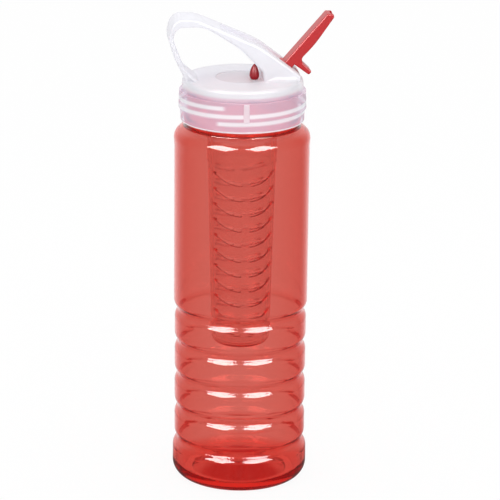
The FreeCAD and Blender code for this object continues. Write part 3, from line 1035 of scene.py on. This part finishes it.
    def mark(self) -> bpy.types.Object:
        """Upright bar on the front of the band, with rounded corners.

        Returns:
            The bar as a body.
        """
        half = self.mark_half_width
        corner = half / 2
        outline = rounded([(-half, self.mark_low, corner), (half, self.mark_low, corner),
                           (half, self.mark_top, corner), (-half, self.mark_top, corner)])
        front = self.band_low_reach + self.mark_proud
        depth = (front - self.bore) / 2
        points, faces = moved(rounded_prism(outline, depth, self.mark_edge), (0.0, depth - front, 0.0))
        turn = math.radians(self.mark_turn_deg)
        spin = np.array(((math.cos(turn), -math.sin(turn), 0), (math.sin(turn), math.cos(turn), 0),
                         (0, 0, 1)))
        return solid("mark", (points @ spin.T, faces))

    def build(self, spout: Spout, valve: VentValve) -> bpy.types.Object:
        """Join the cap, loop, mark and fillets, and cut the spout's room, its bearings and the wells.

        Args:
            spout: the spout that swings in the hood.
            valve: the valve that sits in the top.

        Returns:
            The finished lid.
        """
        made = self.cap()
        width = spout.width + 2 * self.side_clearance
        far = spout.tip + self.swing_clearance
        front, back = spout.stem_front + self.swing_clearance, spout.back + self.swing_clearance
        bearing = spout.width + 2 * spout.trunnion_length + 2 * self.side_clearance
        vent = np.array([(0.0, self.ceiling - self.overrun), (self.vent_hole, self.ceiling - self.overrun),
                         (self.vent_hole, self.top + self.overrun), (0.0, self.top + self.overrun)])
        carve(made, [
            (Carve.ADD, self.loop()), (Carve.ADD, self.mark()),
            (Carve.ADD, self.fillet(-1)), (Carve.ADD, self.fillet(1)),
            (Carve.CUT, spout.roller("barrel_room", spout.barrel + self.swing_clearance, width)),
            (Carve.CUT, spout.block("open_room", 0.0, far, front, back, width)),
            (Carve.CUT, spout.block("folded_room", 0.0, far, far, back, width, spout.swing_deg)),
            (Carve.CUT, spout.roller("bearings", spout.trunnion + self.trunnion_clearance, bearing)),
            (Carve.CUT, spout.well("seal_seat", self.seat, self.top - self.seat_depth, spout.pivot[1])),
            (Carve.CUT, spout.well("lid_port", spout.port, self.ceiling - self.overrun, spout.pivot[1])),
            (Carve.CUT, solid("vent_hole", moved(turned(vent, spout.round_steps), (*valve.place, 0.0))))])
        self.milkiness(made.data)
        # Milky plastic passes most light on, so the lid throws no shadow
        made.visible_shadow = False
        return self.settle(made)


@dataclass
class Studio:
    """White sweep, soft light and the camera."""

    eye_mm: tuple[float, float, float] = (-137.2, -1351.8, 547.0)
    heading_deg: float = 6.0
    pitch_deg: float = 17.188
    roll_deg: float = 0.640
    lens: float = 190.3
    sensor: float = 36.0
    floor_mm: float = 6000.0
    background: float = 1.0
    world_level: float = 0.92
    side_level: float = 0.6
    floor_glow: float = 0.93
    # Painted shade: within these reaches the floor under the bottle glows red instead of white
    shade_mm: tuple[float, float] = (17.0, 25.0)
    shade_nearer_mm: float = 7.0
    painted_shade_tint: str = "#dd4c43"
    front_level: float = 0.15
    dark_until: float = 0.35
    white_from: float = 0.95
    key_height_mm: float = 1700.0
    key_size_mm: float = 1300.0
    key_radiance: float = 0.7
    fill_rise_deg: float = 35.0
    fill_away_mm: float = 1500.0
    fill_size_mm: float = 1000.0
    fill_radiance: float = 0.9
    softbox_turn_deg: float = 36.0
    softbox_rise_deg: float = 34.0
    softbox_away_mm: float = 1200.0
    softbox_mm: tuple[float, float] = (900.0, 760.0)
    softbox_roll_deg: float = 32.0
    softbox_radiance: float = 17.0
    aim_mm: tuple[float, float, float] = (0.0, 0.0, 120.0)
    light_bounces: int = 32
    indirect_limit: float = 2.0

    def seen_directly(self, tree: Tree) -> Socket:
        """A socket that is 1 for rays that show the background straight or through glass."""
        path = add_node(tree, "ShaderNodeLightPath").outputs
        return add_node(tree, "ShaderNodeMath", {"operation": "MAXIMUM"},
                        {0: path["Is Camera Ray"], 1: path["Is Transmission Ray"]}).outputs[0]

    def mirrored(self, tree: Tree, behind: Socket) -> tuple[Socket, Socket]:
        """Tell the rays that come off a gloss, and how bright the studio is where they go.

        The studio is white behind the bottle and dark round the camera, by the cosine from straight
        behind.

        Args:
            tree: the node tree of the floor or the world.
            behind: the socket with that cosine.

        Returns:
            A socket that is 1 for such rays, and the brightness's socket.
        """
        path = add_node(tree, "ShaderNodeLightPath").outputs
        share = add_node(tree, "ShaderNodeMath", {"operation": "SUBTRACT", "use_clamp": True},
                         {0: path["Is Glossy Ray"], 1: path["Is Transmission Ray"]}).outputs[0]
        level = add_node(tree, "ShaderNodeMapRange", {"interpolation_type": "SMOOTHSTEP"},
                         {"Value": behind, "From Min": self.dark_until, "From Max": self.white_from,
                          "To Min": self.front_level, "To Max": self.background}).outputs["Result"]
        return share, level

    def light_world(self) -> None:
        """Soft light that fades to both sides, with a white background for eyes, gloss and glass."""
        world = bpy.data.worlds.new("white_sweep")
        world.use_nodes = True
        tree = world.node_tree
        tree.nodes.clear()
        aim = add_node(tree, "ShaderNodeTexCoord").outputs["Generated"]
        axis = add_node(tree, "ShaderNodeSeparateXYZ", None, {0: aim}).outputs
        square = add_node(tree, "ShaderNodeMath", {"operation": "MULTIPLY"},
                          {0: axis["X"], 1: axis["X"]}).outputs[0]
        level = add_node(tree, "ShaderNodeMapRange", None,
                         {"Value": square, "To Min": self.world_level, "To Max": self.side_level})
        even = add_node(tree, "ShaderNodeBackground", None,
                        {"Color": WHITE, "Strength": level.outputs["Result"]})
        white = add_node(tree, "ShaderNodeBackground", None, {"Color": WHITE, "Strength": self.background})
        both = add_node(tree, "ShaderNodeMixShader", None,
                        {0: self.seen_directly(tree), 1: even.outputs[0], 2: white.outputs[0]})
        share, shine = self.mirrored(tree, axis["Y"])
        image = add_node(tree, "ShaderNodeBackground", None, {"Color": WHITE, "Strength": shine})
        sky = add_node(tree, "ShaderNodeMixShader", None,
                       {0: share, 1: both.outputs[0], 2: image.outputs[0]})
        add_node(tree, "ShaderNodeOutputWorld", None, {"Surface": sky.outputs[0]})
        bpy.context.scene.world = world

    def lay_floor(self) -> None:
        """A wide white floor that glows for the eye, with a painted red shade under the bottle for the
        light that reaches the floor only through the red base.
        """
        half = self.floor_mm * MM / 2
        mesh = bpy.data.meshes.new("floor")
        mesh.from_pydata([(-half, -half, 0), (half, -half, 0), (half, half, 0), (-half, half, 0)], [],
                         [(0, 1, 2, 3)])
        floor = show("floor", mesh)
        material, tree = new_tree("white_floor")
        matt = add_node(tree, "ShaderNodeBsdfDiffuse", None, {"Color": WHITE})
        place = add_node(tree, "ShaderNodeTexCoord").outputs["Object"]
        reach = add_node(tree, "ShaderNodeVectorMath", {"operation": "LENGTH"}, {0: place}).outputs["Value"]
        shaded = add_node(tree, "ShaderNodeMapping", None,
                          {"Vector": place, "Location": (0.0, self.shade_nearer_mm * MM, 0.0)}).outputs[0]
        away = add_node(tree, "ShaderNodeVectorMath", {"operation": "LENGTH"}, {0: shaded}).outputs["Value"]
        clear = add_node(tree, "ShaderNodeMapRange", {"interpolation_type": "SMOOTHSTEP"},
                         {"Value": away, "From Min": self.shade_mm[0] * MM,
                          "From Max": self.shade_mm[1] * MM}).outputs["Result"]
        # Painted shade: under the bottle the floor's glow turns red, for the light that comes to it only
        # through the red base
        painted_floor_shade = add_node(tree, "ShaderNodeMix", {"data_type": "RGBA"},
                       {"Factor": clear, "A": linear(self.painted_shade_tint), "B": WHITE})
        glow = add_node(tree, "ShaderNodeEmission", None,
                        {"Color": painted_floor_shade.outputs["Result"], "Strength": self.background})
        share = add_node(tree, "ShaderNodeMath", {"operation": "MULTIPLY"},
                         {0: self.seen_directly(tree), 1: self.floor_glow}).outputs[0]
        paper = add_node(tree, "ShaderNodeMixShader", None,
                         {0: share, 1: matt.outputs[0], 2: glow.outputs[0]})
        depth = add_node(tree, "ShaderNodeSeparateXYZ", None, {0: place}).outputs["Y"]
        behind = add_node(tree, "ShaderNodeMath", {"operation": "DIVIDE"}, {0: depth, 1: reach}).outputs[0]
        shown, shine = self.mirrored(tree, behind)
        image = add_node(tree, "ShaderNodeEmission", None, {"Strength": shine})
        both = add_node(tree, "ShaderNodeMixShader", None,
                        {0: shown, 1: paper.outputs[0], 2: image.outputs[0]})
        add_node(tree, "ShaderNodeOutputMaterial", None, {"Surface": both.outputs[0]})
        mesh.materials.append(material)

    def hang_lamp(self, name: str, away_mm: Vector, size_mm: tuple[float, float], radiance: float,
                  roll_deg: float = 0.0) -> bpy.types.Object:
        """Hang a flat lamp that faces the bottle.

        Args:
            name: the lamp's name.
            away_mm: where it hangs, from the middle of the bottle.
            size_mm: its width and height.
            radiance: how bright its face is, where 1 is the white of the background.
            roll_deg: how far it is turned in its own plane.

        Returns:
            The lamp's object.
        """
        lamp = bpy.data.lights.new(name, "AREA")
        lamp.shape = "RECTANGLE"
        lamp.size, lamp.size_y = (side * MM for side in size_mm)
        lamp.energy = radiance * math.pi * lamp.size * lamp.size_y
        holder = show(name, lamp)
        spot = (Vector(self.aim_mm) + away_mm) * MM
        facing = Matrix.LocRotScale(spot, away_mm.to_track_quat("Z", "Y"), None)
        holder.matrix_world = facing @ Matrix.Rotation(math.radians(roll_deg), 4, "Z")
        holder.visible_camera = False
        return holder

    def hang_lamps(self) -> None:
        """A soft key above, a fill in front, and a softbox on each side, higher at its far end."""
        self.hang_lamp("key", Vector((0.0, 0.0, self.key_height_mm)), (self.key_size_mm, self.key_size_mm),
                       self.key_radiance)
        rise = math.radians(self.softbox_rise_deg)
        low = math.radians(self.fill_rise_deg)
        front = Vector((0.0, -math.cos(low), math.sin(low))) * self.fill_away_mm
        fill = self.hang_lamp("fill", front, (self.fill_size_mm, self.fill_size_mm), self.fill_radiance)
        fill.visible_glossy = False
        for side, name in ((-1, "softbox_left"), (1, "softbox_right")):
            turn = math.radians(self.softbox_turn_deg * side - self.heading_deg)
            away = Vector((math.sin(turn) * math.cos(rise), -math.cos(turn) * math.cos(rise),
                           math.sin(rise)))
            softbox = self.hang_lamp(name, away * self.softbox_away_mm, self.softbox_mm,
                                     self.softbox_radiance, side * self.softbox_roll_deg)
            softbox.visible_diffuse = False

    def set_camera(self) -> None:
        """A long lens at the photograph's viewing angle."""
        heading, pitch = math.radians(self.heading_deg), math.radians(self.pitch_deg)
        ahead = Vector((math.sin(heading) * math.cos(pitch), math.cos(heading) * math.cos(pitch),
                        -math.sin(pitch)))
        level = ahead.to_track_quat("-Z", "Y").to_matrix().to_4x4()
        data = bpy.data.cameras.new("camera")
        data.lens = self.lens
        data.sensor_width = self.sensor
        camera = show("camera", data)
        camera.matrix_world = (Matrix.Translation(Vector(self.eye_mm) * MM) @ level
                               @ Matrix.Rotation(math.radians(self.roll_deg), 4, "Z"))
        bpy.context.scene.camera = camera

    def build(self) -> None:
        """Set up the whole studio."""
        scene = bpy.context.scene
        scene.view_settings.view_transform = "Standard"
        for bounces in ("max_bounces", "transmission_bounces", "glossy_bounces", "transparent_max_bounces"):
            setattr(scene.cycles, bounces, self.light_bounces)
        scene.cycles.sample_clamp_indirect = self.indirect_limit
        scene.cycles.caustics_reflective = False
        self.light_world()
        self.lay_floor()
        self.hang_lamps()
        self.set_camera()
        log.info("studio ready")


def main() -> None:
    """Dress the bottle piece by piece and set up the studio."""
    logging.basicConfig(level=logging.INFO, format="%(name)s: %(message)s")
    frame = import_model()
    nodes = frame["nodes"]
    for piece in (DressedNode("bottle_body", BODY_PLASTIC), DressedNode("infuser_basket", BASKET_PLASTIC),
                  DressedNode("lid_gasket", WHITE_SILICONE), DressedNode("spout_seal", WHITE_SILICONE)):
        piece.dress(nodes)
    valve = VentValve("vent_pull", "vent_valve", Body.LID, "red_silicone", RED_SILICONE)
    valve.build()
    spout = Spout("drinking_spout", "flip_spout", Body.SPOUT, "red_spout_plastic", SPOUT_PLASTIC)
    spout.build()
    Lid("screw_lid", "lid", Body.LID, "frosted_polypropylene", LID_PLASTIC).build(spout, valve)
    Studio().build()


if __name__ == "__main__":
    main()
